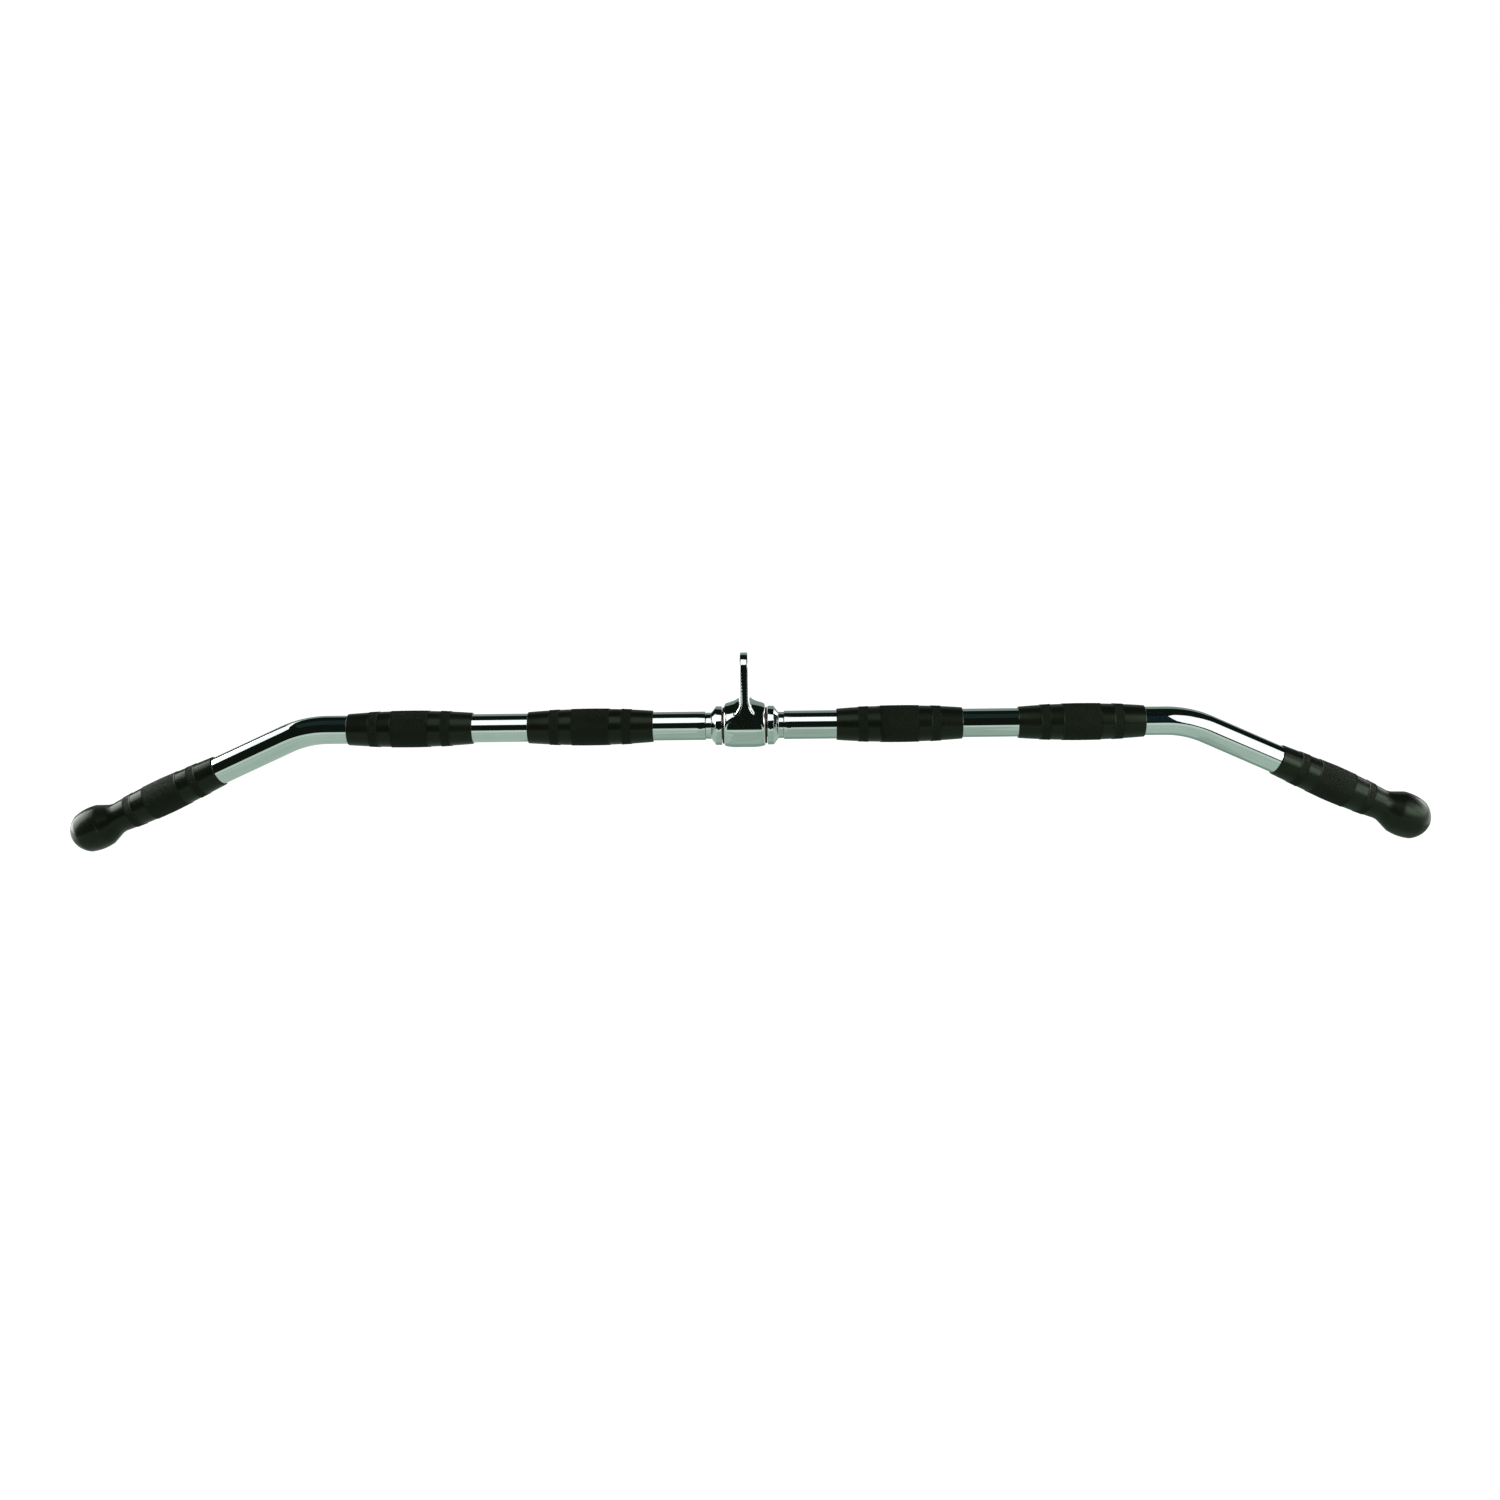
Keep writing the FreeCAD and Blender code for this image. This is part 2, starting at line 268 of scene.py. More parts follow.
def rounded(corners):
    """Profile points from corners of x, radius and, if it is rounded, by how much."""
    points = []
    for i, corner in enumerate(corners):
        place = Vector(corner[:2])
        if len(corner) < 3:
            points.append(tuple(place))
            continue
        back = (Vector(corners[i - 1][:2]) - place).normalized()
        ahead = (Vector(corners[(i + 1) % len(corners)][:2]) - place).normalized()
        half = back.angle(ahead) / 2
        centre = place + (back + ahead).normalized() * (corner[2] / math.sin(half))
        start = place + back * (corner[2] / math.tan(half)) - centre
        turn = -(math.pi - 2 * half) * math.copysign(1, back.x * ahead.y - back.y * ahead.x)
        for step in range(round_steps + 1):
            points.append(tuple(centre + Matrix.Rotation(turn * step / round_steps, 2) @ start))
    return points


def turned_mesh(name, rows, around):
    """A closed profile turned round the X axis. Rows are x, radius and how deep diamonds are cut there.

    The attribute "cut" is 1 on the rows with diamonds, for a finish that differs there.
    """
    body = bmesh.new()
    cut = body.verts.layers.float.new("cut")
    rings = []
    for j, row in enumerate(rows):
        x, radius, depth = (*row, 0)[:3]
        if radius < axis_radius:
            rings.append([body.verts.new((x, 0, 0))] * around)
            continue
        ring = []
        for i in range(around):
            angle = 2 * math.pi * i / around
            r = radius - depth * ((i + j) % 2)
            ring.append(body.verts.new((x, r * math.cos(angle), r * math.sin(angle))))
            ring[i][cut] = float(depth > 0)
        rings.append(ring)
    for j, row in enumerate(rows):
        ring, following = rings[j], rings[(j + 1) % len(rows)]
        diamonds = len(row) > 2 and len(rows[(j + 1) % len(rows)]) > 2
        for i in range(around):
            k = (i + 1) % around
            if not diamonds:
                faces = [tuple(dict.fromkeys((ring[i], ring[k], following[k], following[i])))]
            elif (i + j) % 2:
                faces = [(ring[i], ring[k], following[k]), (ring[i], following[k], following[i])]
            else:
                faces = [(ring[i], ring[k], following[i]), (ring[k], following[k], following[i])]
            for corners in faces:
                if len(corners) > 2:
                    body.faces.new(corners).smooth = not diamonds
    bmesh.ops.recalc_face_normals(body, faces=body.faces)
    mesh = bpy.data.meshes.new(name)
    body.to_mesh(mesh)
    body.free()
    mesh.set_sharp_from_angle(angle=crease_angle)
    return mesh


on_bar = Matrix.Translation((0, 0, bar_height))
sides = {"right": Matrix.Identity(4), "left": Matrix.Scale(-1, 4, (1, 0, 0))}


def both_sides(name, mesh, place, material, slot, *nodes):
    """The piece at its place on the right and its mirror image on the left, both on the bar."""
    for side, mirror in sides.items():
        copy = mesh.copy()
        copy.transform(mirror @ place)
        if side == "left":
            copy.flip_normals()
        piece = new_piece(side + "_" + name, copy)
        place_piece(piece, material, "bar", slot, *(side + "_" + node for node in nodes))


collar_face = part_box("right_collar")[0].x
tube_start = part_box("right_tube")[0].x
cone_start = collar_face + collar_flange_length
cone_end = cone_start + collar_cone_length
collar_profile = rounded([
    (collar_face, collar_bore_radius),
    (collar_face, collar_flange_radius, collar_edge_round),
    (cone_start, collar_flange_radius, collar_edge_round),
    (cone_end, collar_neck_radius, collar_cone_blend),
    (tube_start, collar_neck_radius, collar_edge_round),
    (tube_start, collar_bore_radius),
])
collar_mesh = turned_mesh("turned collar", collar_profile, fine_around)
turned_chrome = chrome_plate("chrome plated turned steel", polish_wave_height)
both_sides("turned_collar", collar_mesh, on_bar, turned_chrome, "chrome_turned", "collar")

# Bar: two halves of welded steel tube, bent cold over a die, polished and chrome plated.
# Each half is slid on the spindle up to its collar; its end there is rounded off.

tube_radius = 13.35 * mm
tube_bore_radius = 10.85 * mm
tube_edge_round = 0.7 * mm
bend_place = 412.5 * mm
bend_radius = 97 * mm
bend_angle = math.radians(24.5)
arm_length = 224.45 * mm
bend_steps = 56
arm_steps = 6
straight_step = 24 * mm
screw_place = 64.5 * mm
screw_hole_radius = 3.05 * mm
screw_hole_window = 8 * mm

bend_reach = bend_radius * math.tan(bend_angle / 2)


def bar_line(s):
    """Point and heading of the tube's middle line at length s from the hanger's middle."""
    bend_start = bend_place - bend_reach
    turn = min(max((s - bend_start) / bend_radius, 0), bend_angle)
    point = Vector((min(s, bend_start), 0, bar_height))
    point += Vector((math.sin(turn), 0, math.cos(turn) - 1)) * bend_radius
    heading = Vector((math.cos(turn), 0, -math.sin(turn)))
    past = s - bend_start - bend_radius * bend_angle
    return point + heading * max(past, 0), heading


def tube_mesh():
    """The bent tube: outside, rounded end at the collar, bore and far end."""
    bend_start = bend_place - bend_reach
    bend_end = bend_start + bend_radius * bend_angle
    tube_end = bend_end + arm_length - bend_reach
    window_end = screw_place + screw_hole_window
    straight_steps = int((bend_start - window_end) / straight_step)
    stations = [screw_place - screw_hole_window, window_end]
    stations += [window_end + straight_step * i for i in range(1, straight_steps)]
    stations += [bend_start + (bend_end - bend_start) * i / bend_steps for i in range(bend_steps + 1)]
    stations += [bend_end + (tube_end - bend_end) * i / arm_steps for i in range(1, arm_steps + 1)]
    rows = rounded([
        (tube_start, tube_bore_radius),
        (tube_start, tube_radius, tube_edge_round),
        (tube_start + screw_hole_window, tube_radius),
    ])
    rows += [(s, tube_radius) for s in stations]
    rows += [(s, tube_bore_radius) for s in reversed(stations)]
    mesh = turned_mesh("bent tube", rows, fine_around)
    for vertex in mesh.vertices:
        middle, heading = bar_line(vertex.co.x)
        up = heading.cross(Vector((0, -1, 0)))
        vertex.co = middle + Vector((0, vertex.co.y, 0)) + up * vertex.co.z
    return mesh


tube_chrome = chrome_plate("chrome plated polished steel tube", polish_wave_height)
both_sides("bent_tube", tube_mesh(), Matrix.Identity(4), tube_chrome, "chrome_tube", "tube")

# Set screws: one headless screw of black oxidised steel in each half of the bar.
# It is driven in from below, through a hole drilled in the tube's wall, and its tip holds the spindle.

oxide_black = "#24262A"
oxide_worn = "#4A4C50"
oxide_roughness = 0.4
oxide_patch = 1.2 * mm
drill_around = 48

# Steel blackened in a hot salt bath: near black with a low gloss, greyer where it is rubbed.
screw_steel, tree, place = new_material("black oxidised screw steel")
wear = add(tree, "TexNoise", {"Vector": place, "Scale": 1 / oxide_patch, "Detail": 3}).outputs["Fac"]
show_surface(tree, {
    "Base Color": add(tree, "Mix", {
        "Factor": wear,
        mix_colours[0]: linear(oxide_black),
        mix_colours[1]: linear(oxide_worn),
    }, data_type="RGBA").outputs[mix_result],
    "Metallic": 1,
    "Roughness": oxide_roughness,
})
dress_nodes(screw_steel, "left_set_screw", "right_set_screw")

drill_end = -2 * tube_radius
drill_rows = [(0, 0), (0, screw_hole_radius), (drill_end, screw_hole_radius), (drill_end, 0)]
downwards = Matrix.Rotation(-math.pi / 2, 4, "Y")
for side, sign in (("right", 1), ("left", -1)):
    drill = new_piece("drill", turned_mesh("drill", drill_rows, drill_around))
    drill.matrix_world = Matrix.Translation((sign * screw_place, 0, bar_height)) @ downwards
    tube = bpy.data.objects[side + "_bent_tube"]
    drilled = tube.modifiers.new("screw hole", "BOOLEAN")
    drilled.operation = "DIFFERENCE"
    drilled.solver = "EXACT"
    drilled.object = drill
    bpy.context.view_layer.update()
    settled(tube)
    bpy.data.objects.remove(drill)

# Grips: four barrels of moulded rubber, slid on the straight part of the bar.
# Each has three raised bands cut into small diamonds, with smooth rubber between them.

grip_length = 117.5 * mm
grip_end_radius = 14.7 * mm
grip_middle_radius = 17 * mm
grip_bore_radius = 13.4 * mm
grip_band_shares = ((0.17, 0.255), (0.345, 0.655), (0.745, 0.83))
band_raise = 0.45 * mm
band_slope = 0.25 * mm
diamond_pitch = 2.2 * mm
diamond_depth = 0.32 * mm
rows_per_diamond = 2
smooth_coarseness = 3
rubber_edge_round = 0.8 * mm
rubber_rim_length = 1.2 * mm
rubber_black = "#0B0D07"
rubber_bloom = "#13170F"
# The tint turns every reflection on the rubber green: a painted green cast in its gloss, for the greenish
# light around it.
rubber_gloss_painted_green = "#DAFAD8"
rubber_ior = 1.52
rubber_bloom_size = 30 * mm
rubber_around = 2 * round(2 * math.pi * grip_middle_radius / diamond_pitch)

# For smooth rubber first, then for rubber cut into diamonds, whose small faces scatter the light.
rubber_shine = (0.21, 0.15)
rubber_roughness = (0.27, 0.58)
rubber_wear = 0.06

# The skin's grain is drawn coarser than the real 0.1 mm, which wouldn't show.
rubber_grain = 0.7 * mm
rubber_grain_height = 0.02 * mm


def rubber_rim(radius):
    """Rows of a rubber piece's first end: its bore, its flat face and its rounded edge."""
    return rounded([
        (0, grip_bore_radius),
        (0, radius, rubber_edge_round),
        (rubber_edge_round * 2, radius),
    ])[:-1]


def banded_rows(radius_at, start, end, bands):
    """Rows along a rubber piece: smooth where it is plain, cut into diamonds on each raised band."""
    rows = []
    edges = [start] + [place for band in bands for place in band] + [end]
    for n, (low, high) in enumerate(zip(edges, edges[1:])):
        raised = n % 2
        inset = band_slope if raised else 0
        length = high - low - 2 * inset
        coarseness = 1 if raised else smooth_coarseness
        count = max(2, rows_per_diamond * round(length / diamond_pitch) // coarseness)
        for i in range(count + 1):
            x = low + inset + length * i / count
            row = (x, radius_at(x) + band_raise * raised)
            rows.append((*row, diamond_depth) if raised and 0 < i < count else row)
    return rows


def barrel_radius(x):
    """The grip's plain outline: a shallow barrel."""
    half = grip_length / 2
    rise = grip_middle_radius - grip_end_radius
    crown = (half ** 2 + rise ** 2) / (2 * rise)
    return grip_middle_radius - crown + math.sqrt(crown ** 2 - (x - half) ** 2)


def moulded_rubber(name):
    """Moulded black rubber: a soft dull gloss painted green in its reflections, a fine grain and a faint
    greenish bloom on the skin.
    """
    made, tree, place = new_material(name)
    grain = add(tree, "TexNoise", {
        "Vector": place,
        "Scale": 1 / rubber_grain,
        "Detail": 3,
    }).outputs["Fac"]
    bloom = add(tree, "TexNoise", {
        "Vector": place,
        "Scale": 1 / rubber_bloom_size,
        "Detail": 4,
    }).outputs["Fac"]
    cut = add(tree, "Attribute", attribute_name="cut").outputs["Fac"]
    shine = add(tree, "MapRange", {
        "Value": cut,
        "To Min": rubber_shine[0],
        "To Max": rubber_shine[1],
    }).outputs["Result"]
    matt = add(tree, "MapRange", {
        "Value": cut,
        "To Min": rubber_roughness[0],
        "To Max": rubber_roughness[1],
    }).outputs["Result"]
    worn = add(tree, "MapRange", {
        "Value": bloom,
        "To Min": -rubber_wear,
        "To Max": rubber_wear,
    }).outputs["Result"]
    show_surface(tree, {
        "Base Color": add(tree, "Mix", {
            "Factor": bloom,
            mix_colours[0]: linear(rubber_black),
            mix_colours[1]: linear(rubber_bloom),
        }, data_type="RGBA").outputs[mix_result],
        "Roughness": add(tree, "Math", {0: matt, 1: worn}, operation="ADD").outputs["Value"],
        "IOR": rubber_ior,
        "Specular IOR Level": shine,
        "Specular Tint": linear(rubber_gloss_painted_green),
        "Normal": add(tree, "Bump", {"Height": grain, "Distance": rubber_grain_height}).outputs["Normal"],
    })
    return made


grip_bands = [[share * grip_length for share in band] for band in grip_band_shares]
grip_rim = rubber_rim(barrel_radius(rubber_edge_round))
grip_rows = list(grip_rim)
grip_rows += banded_rows(barrel_radius, rubber_rim_length, grip_length - rubber_rim_length, grip_bands)
grip_rows += [(grip_length - x, radius) for x, radius in reversed(grip_rim)]
grip_mesh = turned_mesh("rubber grip", grip_rows, rubber_around)
grip_rubber = moulded_rubber("moulded black grip rubber")
for row in ("inner", "outer"):
    start = Matrix.Translation((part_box("right_" + row + "_grip")[0].x, 0, bar_height))
    both_sides(row + "_rubber_grip", grip_mesh, start, grip_rubber, "rubber", row + "_grip")

# End handles: long rubber mouldings pushed over the tube's ends, closed at the far end.
# The hand part has three banded stretches, then comes a slim neck and a round pommel.

handle_start = 94.5 * mm
handle_length = 162 * mm
handle_rim_radius = 14.6 * mm
handle_palm_radius = 16.8 * mm
handle_neck_radius = 14.45 * mm
handle_neck_curve = 20 * mm
handle_closed_length = 29.6 * mm
handle_band_shares = ((0.11, 0.168), (0.236, 0.467), (0.546, 0.602))
palm_share = 0.353
neck_share = 0.675
palm_swell_power = 1.2
palm_narrowing_power = 2
neck_steps = 6
cone_steps = 4
pommel_groove = 0.2 * mm
pommel_front = (0.7867 * handle_length, 20.3 * mm)
pommel_widest = (0.866 * handle_length, 20.77 * mm)
pommel_back = (0.9208 * handle_length, 18.97 * mm)
pommel_shoulder = (0.9573 * handle_length, 14.57 * mm)
pommel_end = (handle_length - 2 * mm, 7.5 * mm)
pommel_cap = (handle_length - 0.55 * mm, 3.8 * mm)
pommel_tip = (handle_length - 0.05 * mm, 0)
pommel_arcs = (
    (pommel_front, pommel_widest, pommel_back, 16),
    (pommel_back, pommel_shoulder, pommel_end, 10),
    (pommel_end, pommel_cap, pommel_tip, 5),
)

neck_x = neck_share * handle_length
handle_bottom = handle_length - handle_closed_length


def hand_radius(x):
    """The handle's plain outline: it swells from the rim to the palm and narrows to the neck."""
    palm_x = palm_share * handle_length
    if x < palm_x:
        drop = handle_palm_radius - handle_rim_radius
        return handle_palm_radius - drop * ((palm_x - x) / palm_x) ** palm_swell_power
    drop = handle_palm_radius - handle_neck_radius
    return handle_palm_radius - drop * ((x - palm_x) / (neck_x - palm_x)) ** palm_narrowing_power


def arc_through(start, middle, end, steps):
    """Points of the arc through three points, without the first."""
    a, b, c = Vector(start), Vector(middle), Vector(end)
    p, q = b - a, c - a
    cross = 2 * (p.x * q.y - p.y * q.x)
    centre = a + Vector((
        (q.y * p.length_squared - p.y * q.length_squared) / cross,
        (p.x * q.length_squared - q.x * p.length_squared) / cross,
    ))
    spoke = a - centre
    turn = spoke.angle_signed(c - centre)
    return [tuple(centre + Matrix.Rotation(-turn * i / steps, 2) @ spoke) for i in range(1, steps + 1)]


def neck_point(angle):
    """A point of the hollow curve out of the neck, where its slope is the angle."""
    rise = handle_neck_curve * (1 - math.cos(angle))
    return Vector((neck_x + handle_neck_curve * math.sin(angle), handle_neck_radius + rise))


# A straight cone leaves the neck's hollow curve without a kink and ends at the pommel's front edge.
run = pommel_front[0] - neck_x
across = handle_neck_curve - (pommel_front[1] - handle_neck_radius)
cone = math.atan2(run, across) - math.acos(handle_neck_curve / math.hypot(run, across))

handle_bands = [[share * handle_length for share in band] for band in handle_band_shares]
handle_rows = rubber_rim(hand_radius(rubber_edge_round))
handle_rows += banded_rows(hand_radius, rubber_rim_length, neck_x, handle_bands)
handle_rows += [tuple(neck_point(cone * i / neck_steps)) for i in range(1, neck_steps + 1)]
handle_rows += [
    tuple(neck_point(cone).lerp(Vector(pommel_front), i / cone_steps))
    for i in range(1, cone_steps)
]
handle_rows += [
    (pommel_front[0] - pommel_groove * 2, pommel_front[1] - pommel_groove),
    (pommel_front[0] - pommel_groove, pommel_front[1] - pommel_groove),
    pommel_front,
]
for arc in pommel_arcs:
    handle_rows += arc_through(*arc)
handle_rows += [(handle_bottom, 0), (handle_bottom, grip_bore_radius)]
handle_mesh = turned_mesh("rubber end handle", handle_rows, rubber_around)
handle_rubber = moulded_rubber("moulded black handle rubber")
on_arm = Matrix.Translation((bend_place, 0, bar_height)) @ Matrix.Rotation(bend_angle, 4, "Y")
on_arm = on_arm @ Matrix.Translation((handle_start, 0, 0))
both_sides("rubber_end_handle", handle_mesh, on_arm, handle_rubber, "rubber", "end_handle")

# Tube plugs: ribbed cups of moulded black polyethylene, pressed into the tube's ends.
# They sit inside the handles and keep the tube's sharp end from cutting through the rubber.

plug_black = "#16171A"
plug_grey = "#202226"
plug_roughness = 0.45
plug_flow_size = 2 * mm

# Moulded polyethylene: black with a waxy gloss and faint grey flow marks.
plug_plastic, tree, place = new_material("moulded black polyethylene")
flow = add(tree, "TexNoise", {"Vector": place, "Scale": 1 / plug_flow_size, "Detail": 2}).outputs["Fac"]
show_surface(tree, {
    "Base Color": add(tree, "Mix", {
        "Factor": flow,
        mix_colours[0]: linear(plug_black),
        mix_colours[1]: linear(plug_grey),
    }, data_type="RGBA").outputs[mix_result],
    "Roughness": plug_roughness,
})
dress_nodes(plug_plastic, "left_tube_plug", "right_tube_plug")

# Studio floor and background: a pale painted floor well below the bar, and a white surround.
# The camera and polished metal see them white; the floor's paint keeps the shadow.

floor_drop = 1.1
floor_size = 40
floor_paint = "#F1F1EF"
white = "#FFFFFF"
floor_lift = 0.55
surround_light = 0.6


def level(height, *corners):
    """Corners of a card that lies flat at a height, from x and y."""
    return [(x, y, height) for x, y in corners]


def staged_card(name, corners, material):
    """A flat stage piece through its corners."""
    mesh = bpy.data.meshes.new(name)
    mesh.from_pydata(corners, [], [range(len(corners))])
    mesh.materials.append(material)
    made = new_piece(name, mesh)
    return made


# Pale matt paint: white to the camera and in the metal, and grey where the bar's shadow falls.
paint, tree, place = new_material("pale matt floor paint")
rays = add(tree, "LightPath").outputs
seen = add(tree, "Math", {0: rays["Is Camera Ray"], 1: rays["Is Glossy Ray"]}, operation="MAXIMUM")
lift = add(tree, "Math", {0: seen.outputs["Value"], 1: floor_lift}, operation="MULTIPLY")
matt = add(tree, "BsdfDiffuse", {"Color": linear(floor_paint)}).outputs["BSDF"]
glow = add(tree, "Emission", {"Color": linear(white), "Strength": lift.outputs["Value"]})
shown = add(tree, "AddShader", {0: matt, 1: glow.outputs["Emission"]}).outputs["Shader"]
add(tree, "OutputMaterial", {"Surface": shown})
half = floor_size / 2
floor_corners = level(bar_height - floor_drop, (-half, -half), (half, -half), (half, half), (-half, half))
staged_card("floor", floor_corners, paint)

world = bpy.data.worlds.new("white surround")
bpy.context.scene.world = world
world.use_nodes = True
tree = world.node_tree
tree.nodes.clear()
rays = add(tree, "LightPath").outputs
seen = add(tree, "Math", {0: rays["Is Camera Ray"], 1: rays["Is Glossy Ray"]}, operation="MAXIMUM")
seen = add(tree, "Math", {
    0: seen.outputs["Value"],
    1: rays["Is Transmission Ray"],
}, operation="MAXIMUM")
soft = add(tree, "Background", {"Color": linear(white), "Strength": surround_light}).outputs["Background"]
clear = add(tree, "Background", {"Color": linear(white), "Strength": 1}).outputs["Background"]
shown = add(tree, "MixShader", {0: seen.outputs["Value"], 1: soft, 2: clear}).outputs["Shader"]
add(tree, "OutputWorld", {"Surface": shown})

# Studio lamp: one wide soft lamp above and in front of the bar.
# The chrome mirrors the softbox card of the next section in its place, so the lamp isn't mirrored.

lamp_power = 16
lamp_width = 1.6
lamp_depth = 1.2
lamp_place = (-0.3, -1.1, 1.5)
lamp_tilt = math.radians(36)
lamp_turn = math.radians(-10)

lamp = bpy.data.lights.new("soft lamp", "AREA")
lamp.shape = "RECTANGLE"
lamp.size = lamp_width
lamp.size_y = lamp_depth
lamp.energy = lamp_power
lamp_stand = bpy.data.objects.new("soft lamp", lamp)
bpy.context.scene.collection.objects.link(lamp_stand)
lamp_stand.location = lamp_place
lamp_stand.rotation_euler = (lamp_tilt, 0, lamp_turn)
lamp_stand.visible_glossy = False

# Studio cards: what the polished metal mirrors, with corners given one by one. Nothing else sees them.
# Black flags in front and overhead hold a white softbox between them, lamps shine out of white side
# walls over a pale green table, and a few small cards stand close beside the hanger.

front = -1.3
ceiling = 1.75
table = -1
left_wall = -2.2
right_wall = 2.4
table_back = 2.6
back_wall = 2.8
beside_hanger = 0.13
card_gap = 0.01
small_card_gap = 0.001
card_black = "#141A15"
hood_blue = "#22302F"
right_hood_blue = "#172830"
back_grey = "#94A39C"
table_green = "#BDD0C4"
table_edge_green = "#D9EADF"
table_shade_green = "#8FA79C"
table_shade_patch_green = "#ADC1B4"
softbox_light = 1.6
left_light = 7
right_light = 5
cloud_size = 0.12
cloud_depth = 0.25


def mirrored_card(name, colour, strength, corners):
    """A card that only glossy rays see. Corners are given from the middle of the bar."""
    made, tree, place = new_material(name)
    cloud = add(tree, "TexNoise", {"Vector": place, "Scale": 1 / cloud_size, "Detail": 2}).outputs["Fac"]
    shade = add(tree, "MapRange", {
        "Value": cloud,
        "To Min": strength * (1 - cloud_depth),
        "To Max": strength * (1 + cloud_depth),
    }).outputs["Result"]
    glow = add(tree, "Emission", {"Color": linear(colour), "Strength": shade}).outputs["Emission"]
    add(tree, "OutputMaterial", {"Surface": glow})
    card = staged_card(name, [(x, y, z + bar_height) for x, y, z in corners], made)
    card.visible_camera = False
    card.visible_diffuse = False
    card.visible_transmission = False
    card.visible_volume_scatter = False
    card.visible_shadow = False


def upright(depth, *corners):
    """Corners of a card that stands across the bar at a depth, from x and height."""
    return [(x, depth, z) for x, z in corners]


def sideways(x, *corners):
    """Corners of a card that stands along Y, from y and height."""
    return [(x, y, z) for y, z in corners]


# In front of the bar and below it.
mirrored_card("front_flag", card_black, 1, upright(
    front,
    (left_wall, -0.62), (-1.04, -0.15), (-0.97, -0.11), (-0.72, -0.07), (-0.14, -0.055), (-0.085, -0.065),
    (-0.075, -0.2), (0.015, -0.2), (0.025, -0.1), (0.37, -0.12), (0.66, -0.02), (0.9, -0.14),
    (1, -0.1), (right_wall, -0.1), (right_wall, 0.07), (0.88, 0.07), (0.79, 0.17), (0.765, 0.4), (0.8, 1),
    (0.87, ceiling), (0.3, ceiling), (0.3, 1.27), (0.07, 1.25), (-0.16, 1.18), (-0.66, 1.16),
    (-0.66, ceiling), (left_wall, ceiling),
))
mirrored_card("table_front", table_edge_green, 1, upright(
    front - 3 * card_gap, (-3.6, -0.5), (3.6, -0.5), (3.6, 0.02), (-3.6, 0.02),
))
mirrored_card("table_front_low", table_green, 1, upright(
    front - 2 * card_gap, (-3.6, table), (3.6, table), (3.6, -0.45), (-3.6, -0.45),
))
mirrored_card("table_top", table_green, 1, level(
    table, (-3.6, front), (3.6, front), (3.6, 0.22), (-0.36, 0.22), (-0.36, table_back), (-3.6, table_back),
))
mirrored_card("table_shade", table_shade_green, 1, level(
    table, (-0.36, 0.22), (3.6, 0.22), (3.6, table_back), (-0.36, table_back),
))
# A darker patch of the table in front of the middle and right of the bar: painted shade on the mirrored
# table.
mirrored_card("table_shade_patch", table_shade_patch_green, 1, level(
    table + card_gap, (-0.1, front), (0.4, front), (0.4, 0.2), (-0.25, 0.2),
))
mirrored_card("table_shade_patch_front", table_shade_patch_green, 1, upright(
    front - card_gap, (-0.1, table), (0.43, table), (0.43, -0.45), (-0.1, -0.45),
))

# Close beside the hanger, for the black, white and green patches in its wide foot.
mirrored_card("hanger_right_flag", card_black, 1, sideways(
    beside_hanger,
    (-0.32, -0.012), (-0.08, -0.012), (-0.07, 0.08), (-0.06, 0.12), (0.011, 0.1), (0.076, 0.075),
    (0.12, 0.15), (0.14, 0.34), (-0.32, 0.34),
))
mirrored_card("hanger_right_glint", white, softbox_light, sideways(
    beside_hanger - 2 * small_card_gap,
    (0.213, -0.016), (0.088, 0.044), (0.011, 0.09), (-0.04, 0.12), (-0.02, 0.145), (0.016, 0.119),
    (0.076, 0.075), (0.148, 0.036), (0.25, 0),
))
mirrored_card("collar_right_flag", hood_blue, 1, sideways(
    beside_hanger - small_card_gap,
    (-0.04, -0.012), (0.1, -0.012), (0.22, -0.07), (0.32, -0.1), (0.32, -0.055), (0.213, -0.02),
    (0.088, 0.035), (0, 0.08), (-0.04, 0.03),
))
mirrored_card("hanger_right_low", table_green, 1, sideways(
    beside_hanger, (-0.32, -0.3), (0.2, -0.3), (0.2, -0.012), (-0.32, -0.012),
))
mirrored_card("hanger_left_flag", card_black, 1, sideways(
    -beside_hanger,
    (-0.005, 0.085), (0.05, 0.065), (0.1, 0.04), (0.2, 0), (0.2, 0.32), (-0.14, 0.32), (-0.05, 0.22),
    (-0.01, 0.17),
))
mirrored_card("hanger_left_low", table_green, 1, sideways(
    -beside_hanger, (-0.32, -0.3), (0.2, -0.3), (0.2, -0.012), (-0.32, -0.012),
))
mirrored_card("hanger_left_glint", white, softbox_light, sideways(
    -beside_hanger, (-0.15, 0.11), (-0.11, 0.11), (-0.03, 0.18), (-0.06, 0.22), (-0.14, 0.15),
))

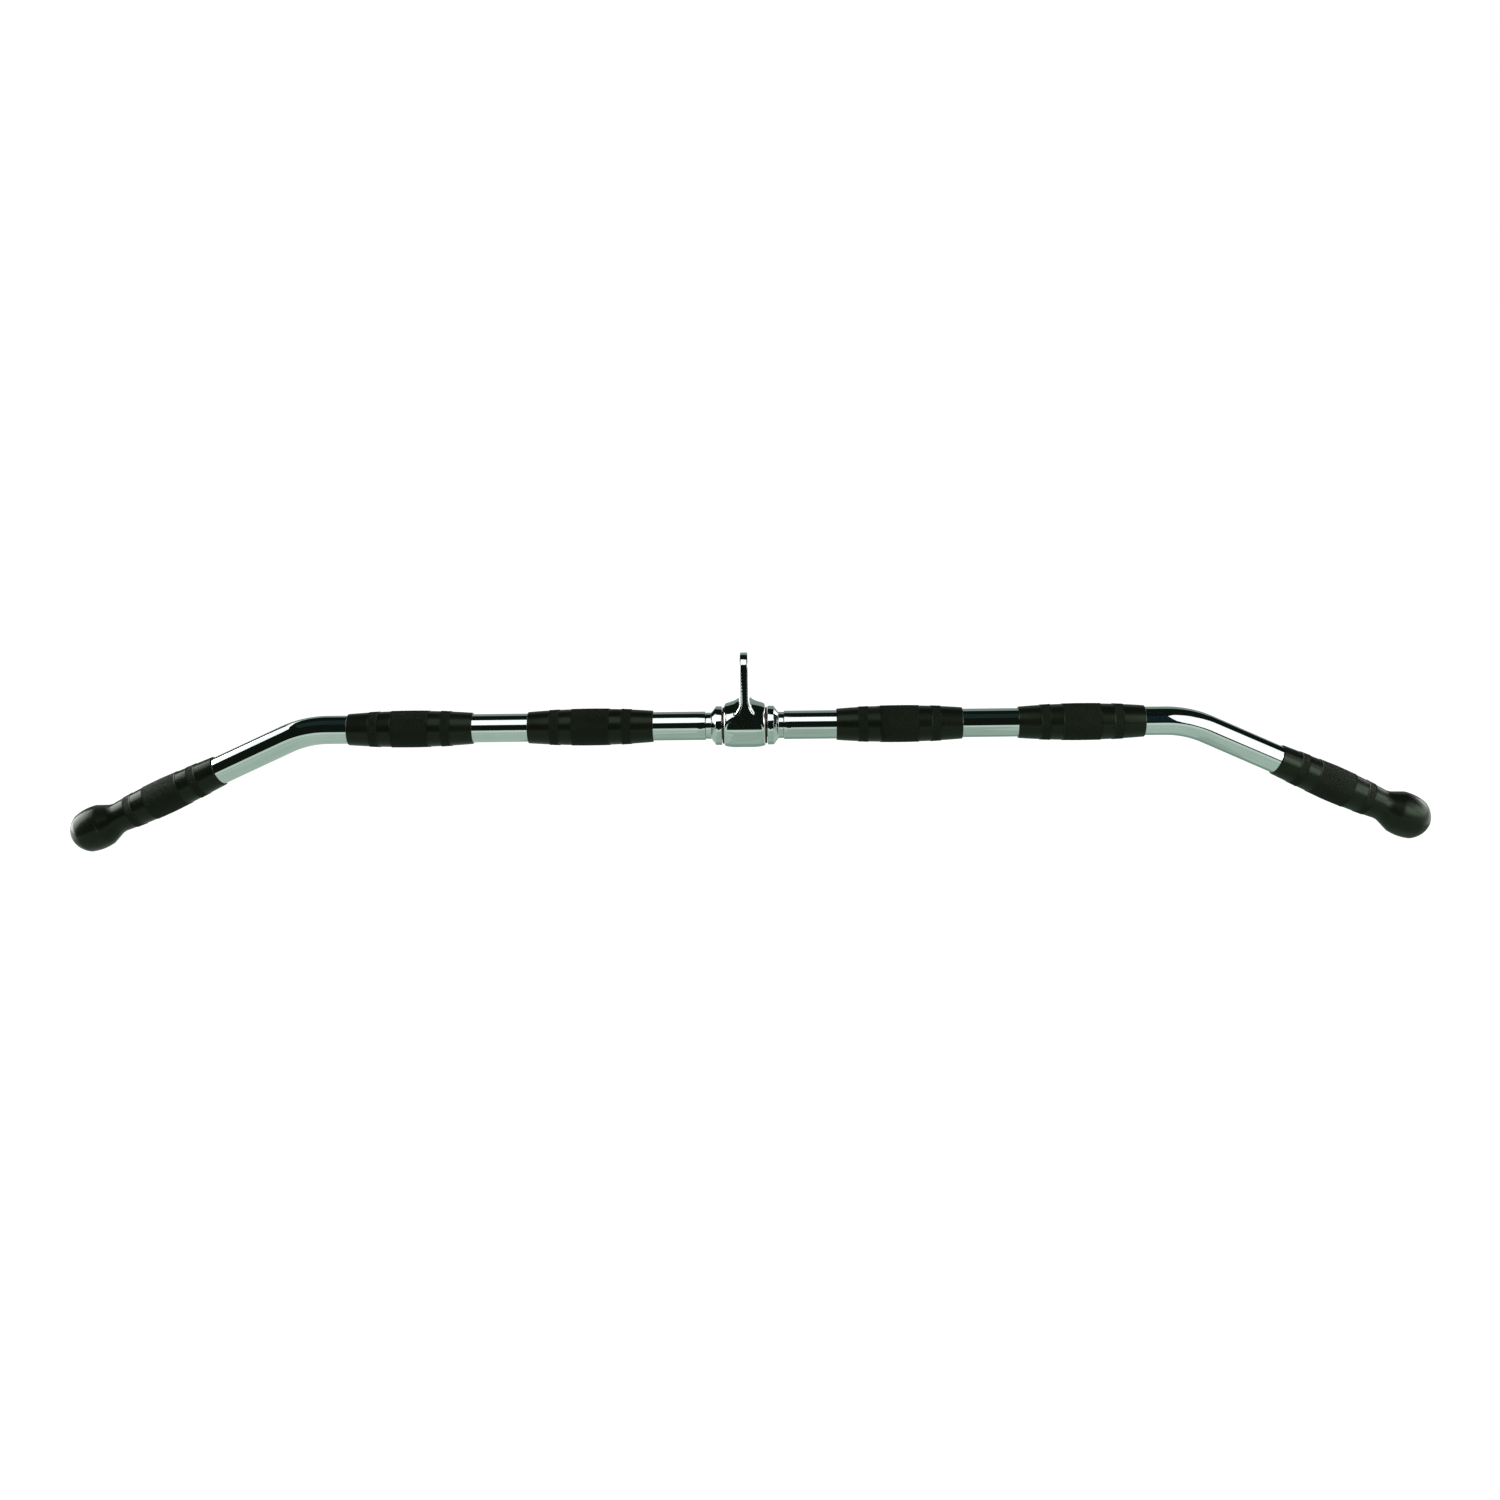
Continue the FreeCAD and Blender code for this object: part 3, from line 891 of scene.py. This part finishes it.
# Overhead.
mirrored_card("softbox", white, softbox_light, [
    (-0.66, front, 1.16), (-0.16, front, 1.18), (0.07, front, 1.25), (0.3, front, 1.27),
    (0.3, -0.32, ceiling), (0.05, -0.29, ceiling), (-0.17, -0.16, ceiling), (-0.66, -0.22, ceiling),
])
mirrored_card("left_hood", hood_blue, 1, level(
    ceiling - card_gap, (-1.6, -0.98), (-0.66, -0.98), (-0.66, 0.28), (-1.6, 0.28),
))
mirrored_card("right_hood", hood_blue, 1, level(
    ceiling - card_gap, (0.3, front), (0.6, front), (0.6, 0), (0.3, 0),
))
mirrored_card("ceiling_flag", card_black, 1, level(
    ceiling,
    (left_wall, front), (-0.66, front), (-0.66, -0.22), (-0.17, -0.16), (0.05, -0.29), (0.3, -0.32),
    (0.3, front), (0.87, front), (0.95, -0.9), (1.23, -0.72), (1.53, -0.62), (2.11, -0.23),
    (right_wall, 0), (right_wall, 2.5), (0.95, 1.5), (0.47, 1.33), (0.05, 1.36), (-0.21, 1.6),
    (-0.62, 1.62), (-1.11, 2.22), (-1.8, 2.3), (-1.85, 1.7), (-1.79, 1), (-1.82, 0.45), (-1.84, -0.18),
    (-2.14, -0.45), (left_wall, -0.45),
))

# To the left, with a brighter lamp set in the white wall for the left arm.
mirrored_card("left_sky", white, softbox_light, level(
    ceiling + card_gap, (left_wall, -0.6), (-1.7, -0.6), (-1.7, 2.4), (left_wall, 2.4),
))
mirrored_card("left_flag", card_black, 1, sideways(
    left_wall, (front, -0.62), (-0.42, -0.62), (-0.42, ceiling), (front, ceiling),
))
mirrored_card("left_white", white, softbox_light, sideways(
    left_wall,
    (front, table), (1.6, table), (1.6, ceiling), (-0.42, ceiling), (-0.42, -0.63), (front, -0.63),
))
mirrored_card("left_lamp", white, left_light, sideways(
    left_wall + card_gap, (-0.25, -0.45), (1.4, -0.45), (1.4, 1.5), (-0.25, 1.5),
))
mirrored_card("left_back_flag", card_black, 1, sideways(
    left_wall, (1.6, table), (table_back, table), (table_back, ceiling), (1.6, ceiling),
))

# To the right, with two such lamps.
mirrored_card("right_front_hood", right_hood_blue, 1, upright(
    front + card_gap, (0.6, 0.28), (0.76, 0.34), (0.785, 0.9), (0.85, 1.7), (0.6, 1.7),
))
mirrored_card("right_front_white", white, softbox_light, upright(
    front - card_gap, (0.75, 0), (right_wall, 0), (right_wall, ceiling), (0.75, ceiling),
))
mirrored_card("right_side_white", white, softbox_light, sideways(
    right_wall,
    (front, table), (2.4, table), (2.4, 1.05), (-0.02, 1.05), (-0.02, ceiling), (front, ceiling),
))
mirrored_card("right_lamp", white, right_light, sideways(
    right_wall - card_gap, (-1, 0.3), (2, 0.3), (2, 0.8), (-0.3, 0.8), (-0.3, 1.4), (-1, 1.4),
))
mirrored_card("right_front_lamp", white, right_light, upright(
    front - card_gap / 2, (1.1, 0.35), (right_wall, 0.35), (right_wall, 1.5), (1.1, 1.5),
))
mirrored_card("right_sky", white, softbox_light, level(
    ceiling + card_gap, (0.8, front), (right_wall, front), (right_wall, 0.2), (0.8, 0.2),
))
mirrored_card("right_flag", card_black, 1, sideways(
    right_wall, (-0.02, 1.05), (2.75, 1.05), (2.75, ceiling), (-0.02, ceiling),
))

# Behind the bar.
mirrored_card("back_low_white", white, softbox_light, upright(
    back_wall - card_gap, (-1.5, table), (1.5, table), (1.5, -0.3), (-1.5, -0.3),
))
mirrored_card("back_wall", back_grey, 1, upright(
    back_wall, (-6, table), (6, table), (6, 6), (-6, 6),
))

# Camera: on the front side, a little above the bar and to the right of its middle.
# Its distance, lens and slight roll were fitted to the ends of the tubes, grips and handles.

camera_distance = 1.69
camera_azimuth = math.radians(1.16)
camera_elevation = math.radians(17)
camera_roll = math.radians(-0.93)
focal_pixels = 1805
aim_right_pixels = 4.7
aim_below_pixels = 24.8
image_width = 1500

# The sensor and the lens are in millimetres.
sensor_width = 36

camera = bpy.data.cameras.new("camera")
camera.sensor_width = sensor_width
camera.lens = sensor_width * focal_pixels / image_width
tripod = bpy.data.objects.new("camera", camera)
bpy.context.scene.collection.objects.link(tripod)
bpy.context.scene.camera = tripod
middle = Vector((0, 0, bar_height))
back = Vector((
    math.sin(camera_azimuth) * math.cos(camera_elevation),
    -math.cos(camera_azimuth) * math.cos(camera_elevation),
    math.sin(camera_elevation),
))
stand = middle + back * camera_distance
right = Vector((0, 0, 1)).cross(back).normalized()
up = back.cross(right)
pixel = camera_distance / focal_pixels
aim = middle + right * aim_right_pixels * pixel - up * aim_below_pixels * pixel
turn = (stand - aim).to_track_quat("Z", "Y").to_matrix().to_4x4()
tripod.matrix_world = Matrix.Translation(stand) @ turn @ Matrix.Rotation(camera_roll, 4, "Z")

bpy.context.scene.view_settings.view_transform = "Standard"
